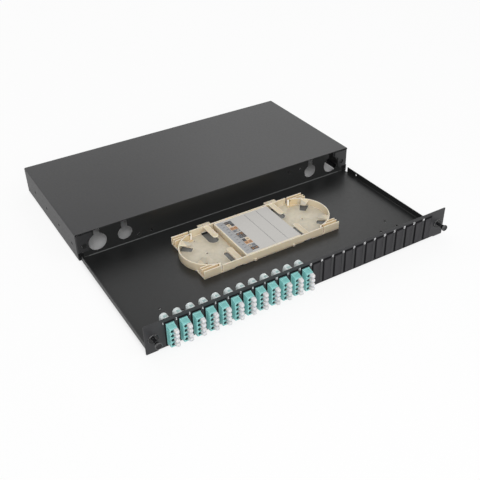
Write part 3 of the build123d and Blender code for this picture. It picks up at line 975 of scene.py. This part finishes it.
class FitTray(bpy.types.Operator):
    """Rounds the splice tray's edges, cuts its slots, sets its posts and gives it its ivory"""

    bl_idname = "patch_panel.fit_tray"
    bl_label = "Splice tray"

    deck_height = 1.4 * MM
    # The slots in the lugs: their distance from the middle, their two starts and their size
    slot_place = 53.8
    slot_starts = (-4.5, 0.5)
    slot_size = Vector((3.0, 1.1, 2.0)) * MM
    # The posts at the horns: their distance from the middle, half width, hook height and hook reach
    post_place = Vector((81.2, 39.2)) * MM
    post_half = 0.7 * MM
    hook_height = 2.6 * MM
    hook_reach = 2.0 * MM

    def execute(self, context):
        colours = context.scene.panel_colours
        tray = copy_of_node("splice_tray", "tray_moulding")
        low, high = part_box("splice_tray")
        middle = Vector(((low.x + high.x) / 2, (low.y + high.y) / 2 - 2.0 * MM, low.z))
        for side in (-1, 1):
            for start in self.slot_starts:
                across = middle.x + (side * self.slot_place + start) * MM
                corner = Vector((across, high.y - 4.2 * MM, high.z - 1.2 * MM))
                cut_away(tray, add_block("slot", corner, corner + self.slot_size))
        round_edges(tray, 0.22 * MM, 2, 35)
        ivory = ivory_moulding("Tray ivory", colours.tray_ivory, middle, low.z + self.deck_height)
        settle(tray, "drawer", "tray_plastic", ivory, "splice_tray")
        posts = [self.post(middle, side, end, high.z) for side in (-1, 1) for end in (-1, 1)]
        # Painted shade: the posts' amber is darkened to half, since the lamps light them brightly
        red, green, blue = shade(colours.tray_ivory, 0.5)
        shaded_post_ivory = moulding("Post ivory", (red, green * 0.85, blue * 0.6), 0.4, 0.04, 0.2)
        settle(join_all(posts, "tray_posts"), "drawer", "tray_plastic", shaded_post_ivory)
        dress_node("splice_combs", soft_rubber("Comb rubber", colours.comb_grey))
        return {"FINISHED"}

    def post(self, middle, side, end, top):
        """A small hooked post at the start of a horn's rib, which keeps fibres out of the slit."""
        x = middle.x + side * self.post_place.x
        y = middle.y + end * self.post_place.y
        half = Vector((self.post_half, self.post_half, 0))
        foot = Vector((x, y, middle.z + self.deck_height))
        post = add_block("post", foot - half, Vector((x, y, top - 0.3 * MM)) + half)
        hook = top - self.hook_height
        edit(post)
        pick_all()
        bpy.ops.mesh.bisect(plane_co=(0, 0, hook), plane_no=(0, 0, 1))
        pick_faces(lambda place, normal: normal.y * end < -0.9 and place.z > hook)
        pull_out((0, -end * self.hook_reach, 0))
        leave_edit()
        round_edges(post, 0.25 * MM)
        return post


class FitCover(bpy.types.Operator):
    """Rounds the splice cover's edges and lays its printed label in the recess"""

    bl_idname = "patch_panel.fit_cover"
    bl_label = "Splice cover and label"

    # In millimetres from the label's left edge: the tinted band with its width, the rules, and the tiles
    band = (5.4, 9.2)
    rules = (10.3, 45.5, 64.4)
    rule_width = 0.45
    tile_columns = (13.8, 19.1)
    tile_size = (5.1, 6.7)
    tile_rows = 10
    ladder = ("brown", "orange", "slate", "steel", "cream", "slate", "orange", "brown", "steel", "slate")
    mark_radius = 1.7 * MM
    mark_corners = (4, 16, 6)

    def execute(self, context):
        sizes = context.scene.panel_sizes
        colours = context.scene.panel_colours
        cover = copy_of_node("splice_cover", "cover_moulding")
        round_edges(cover, 0.12 * MM, 2, 35)
        low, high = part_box("splice_cover")
        ivory = ivory_moulding("Cover ivory", shade(colours.tray_ivory, 1.05), (low + high) / 2, 0.0)
        settle(cover, "drawer", "tray_cover_plastic", ivory, "splice_cover")
        recess = high.z - 0.3 * MM
        near = Vector((low.x + 1.5 * MM, low.y + 1.9 * MM, recess))
        far = Vector((high.x - 0.4 * MM, high.y - 1.9 * MM, recess + sizes.label_thickness))
        label = self.printed_plate("cover_label", near, far, 1.0 * MM)
        settle(label, "drawer", "tray_cover_plastic", card("Label card", colours.label_card))
        self.print_label(near, far, sizes.ink_thickness)
        return {"FINISHED"}

    def printed_plate(self, name, low, high, corner):
        """A thin plate with rounded corners."""
        plate = add_block(name, low, high)
        edit(plate)
        pick_edges(upright)
        bevel(corner, 3)
        leave_edit()
        return plate

    def print_label(self, low, high, thickness):
        """A tinted band, ruled lines, and a ladder of small coloured tiles with marks on them."""
        middle = (low + high) / 2
        length = high.y - low.y - 5.0 * MM
        laid = {ink: [] for ink in INKS}

        def lay(ink, across, y, wide, long, lift, corner=0.0):
            """Prints one flat patch, given its middle and its size."""
            half = Vector((wide / 2, long / 2, 0))
            base = Vector((low.x + across * MM, y, high.z + lift * thickness))
            top = Vector((0, 0, thickness))
            plate = self.printed_plate("patch", base - half, base + half + top, corner or min(wide, long) / 5)
            laid[ink].append(plate)

        lay("tint", self.band[0], middle.y, self.band[1] * MM, length + 2.4 * MM, 0)
        for across in self.rules:
            lay("grey", across, middle.y, self.rule_width * MM, length, 0)
        for index in range(11):
            y = middle.y + (index - 5) * length / 11.5
            lay("grey", self.band[0] + 0.9 * (index % 3), y, 3.4 * MM, 0.8 * MM, 1)
        wide, long = (side * MM for side in self.tile_size)
        for row in range(self.tile_rows):
            stagger = (-0.4 if row % 2 else 0.4) * MM
            y = middle.y + (row - 4.5) * length / 10.1 + stagger
            for column, across in enumerate(self.tile_columns):
                tile, other = (self.ladder[(3 * row + 5 * column + step) % len(self.ladder)] for step in (0, 1))
                lay(tile, across, y, wide, long, 0, 0.4 * MM)
                place = (low.x + across * MM, y, high.z + thickness)
                laid[other].append(self.mark(place, thickness, self.mark_corners[row % 3], row * 0.5))
        for ink, (name, colour) in INKS.items():
            piece = join_all(laid[ink], f"label_{ink}")
            settle(piece, "drawer", "tray_cover_plastic", printed(name, colour))

    def mark(self, place, thickness, corners, turn):
        """A small flat ring or lozenge with its middle left open."""
        mark = add_ring("mark", place, self.mark_radius, corners, (0, 0, turn))
        edit(mark)
        pick_all()
        bpy.ops.mesh.inset(thickness=self.mark_radius * 0.34)
        bpy.ops.mesh.delete(type="FACE")
        leave_edit()
        edit(mark)
        pick_all()
        pull_out((0, 0, thickness))
        face_outwards()
        leave_edit()
        return mark


class SetStage(bpy.types.Operator):
    """Lays the floor, hangs the soft lights and sets the camera"""

    bl_idname = "patch_panel.set_stage"
    bl_label = "Stage"

    # The floor: its share of glow, how it shows in reflections, and how far it lies under the rails
    glow_share = 0.86
    mirrored_glow = 0.62
    floor_drop = 0.4 * MM
    # The floor under the panel, where the glow fades out: its middle, and where the fading starts and ends
    shaded_middle = 0.008
    shaded_width = (0.206, 0.222)
    shaded_depth = (0.190, 0.212)
    # The world: its level as light, and as seen
    sky_light = 0.55
    sky_seen = 1.0
    # The camera, solved from the straight edges of the panel
    camera_place = (-0.41565, -0.74363, 0.54595)
    camera_around = -30.462
    camera_over = 34.840
    camera_roll = -1.389
    camera_lens = 52.97

    def execute(self, context):
        self.floor(context)
        self.lights(context)
        self.camera(context)
        return {"FINISHED"}

    def off_the_object(self, tree, place):
        """One on the open floor, and nothing on the floor under the panel."""
        parts = split(tree, place)
        across = joined(tree, "ABSOLUTE", parts["X"], 0.0)
        along = joined(tree, "ABSOLUTE", joined(tree, "SUBTRACT", parts["Y"], self.shaded_middle), 0.0)
        beside = between(tree, across, 0.0, 1.0, *self.shaded_width)
        before = between(tree, along, 0.0, 1.0, *self.shaded_depth)
        return joined(tree, "MAXIMUM", beside, before)

    def floor(self, context):
        """A wide round floor that reads white and keeps a faint shadow."""
        floor = add_ring("studio_floor", (0, 0, -self.floor_drop), 7.0, 96, (0, 0, 0))
        edit(floor)
        pick_all()
        bpy.ops.mesh.inset(thickness=1.0)
        leave_edit()
        material, tree, shader, place = start_finish("Pale floor")
        tree.nodes.remove(shader)
        paint = (*context.scene.panel_colours.floor_grey, 1.0)
        diffuse = add_step(tree, "BsdfDiffuse", {"Color": paint})["BSDF"]
        rays = add_step(tree, "LightPath")
        strength = between(tree, rays["Is Glossy Ray"], 1.0, self.mirrored_glow, 0.0, 1.0)
        glow = add_step(tree, "Emission", {"Strength": strength})["Emission"]
        seen = joined(tree, "MAXIMUM", rays["Is Camera Ray"], rays["Is Glossy Ray"])
        seen = joined(tree, "MAXIMUM", seen, rays["Is Transmission Ray"])
        share = joined(tree, "MULTIPLY", seen, self.glow_share)
        share = joined(tree, "MULTIPLY", share, self.off_the_object(tree, place))
        mix = add_step(tree, "MixShader", {"Fac": share, 1: diffuse, 2: glow})["Shader"]
        tree.links.new(mix, tree.nodes["Material Output"].inputs["Surface"])
        floor.data.materials.append(material)

    def lights(self, context):
        """Soft daylight all round, a large key light at the front left, and three weaker lights."""
        world = bpy.data.worlds.new("Studio")
        context.scene.world = world
        world.use_nodes = True
        tree = world.node_tree
        background = tree.nodes["Background"]
        rays = add_step(tree, "LightPath")
        seen = joined(tree, "MAXIMUM", rays["Is Camera Ray"], rays["Is Transmission Ray"])
        level = between(tree, seen, self.sky_light, self.sky_seen, 0.0, 1.0)
        mirrored = joined(tree, "MULTIPLY", rays["Is Glossy Ray"], self.horizon(tree))
        tree.links.new(joined(tree, "MAXIMUM", level, mirrored), background.inputs["Strength"])
        background.inputs["Color"].default_value = (1.0, 1.0, 1.0, 1.0)
        for name, place, width, power in LIGHTS:
            choose_none()
            aim = Vector((0, 0, 0.02)) - Vector(place)
            turn = aim.to_track_quat("-Z", "Y").to_euler()
            bpy.ops.object.light_add(type="AREA", location=place, rotation=turn)
            lamp = context.active_object
            lamp.name = f"{name}_light"
            lamp.data.size = width
            lamp.data.energy = power
            lamp.visible_glossy = name != "rear"

    def horizon(self, tree):
        """The studio's bright wall behind the panel, which darkens towards the ceiling."""
        height = split(tree, add_step(tree, "TexCoord")["Generated"])["Z"]
        return between(tree, height, 1.0, 0.25, 0.50, 0.64)

    def camera(self, context):
        """The view over the panel's front left corner."""
        around = Matrix.Rotation(math.radians(self.camera_around), 4, "Z")
        over = Matrix.Rotation(math.radians(90 - self.camera_over), 4, "X")
        roll = Matrix.Rotation(math.radians(self.camera_roll), 4, "Z")
        turn = (around @ over @ roll).to_euler()
        choose_none()
        bpy.ops.object.camera_add(location=self.camera_place, rotation=turn)
        camera = context.active_object
        camera.name = "view_camera"
        camera.data.sensor_width = 36.0
        camera.data.lens = self.camera_lens
        camera.data.clip_end = 50.0
        context.scene.camera = camera
        context.scene.view_settings.view_transform = "Standard"


PIECES = (
    DressMetal, FitGaskets, PrintNumbers, FitAdapters, FitPortCaps, FitRearCovers, FitBlanks, FitPlungers,
    FitTray, FitCover, SetStage,
)


class PatchPanelSidebar(bpy.types.Panel):
    """Lists the steps that finish the patch panel"""

    bl_idname = "VIEW3D_PT_patch_panel"
    bl_label = "Fibre patch panel"
    bl_space_type = "VIEW_3D"
    bl_region_type = "UI"
    bl_category = "Patch panel"

    def draw(self, context):
        for piece in PIECES:
            self.layout.operator(piece.bl_idname)
        for group in (context.scene.panel_sizes, context.scene.panel_colours):
            for name in group.bl_rna.properties.keys():
                if name not in ("rna_type", "name"):
                    self.layout.prop(group, name)


CLASSES = (PanelSizes, PanelColours, *PIECES, PatchPanelSidebar)


def register():
    for cls in CLASSES:
        bpy.utils.register_class(cls)
    bpy.types.Scene.panel_sizes = PointerProperty(type=PanelSizes)
    bpy.types.Scene.panel_colours = PointerProperty(type=PanelColours)


def unregister():
    del bpy.types.Scene.panel_colours
    del bpy.types.Scene.panel_sizes
    for cls in reversed(CLASSES):
        bpy.utils.unregister_class(cls)


def main():
    register()
    for piece in PIECES:
        group, step = piece.bl_idname.split(".")
        getattr(getattr(bpy.ops, group), step)()


if __name__ == "__main__":
    main()
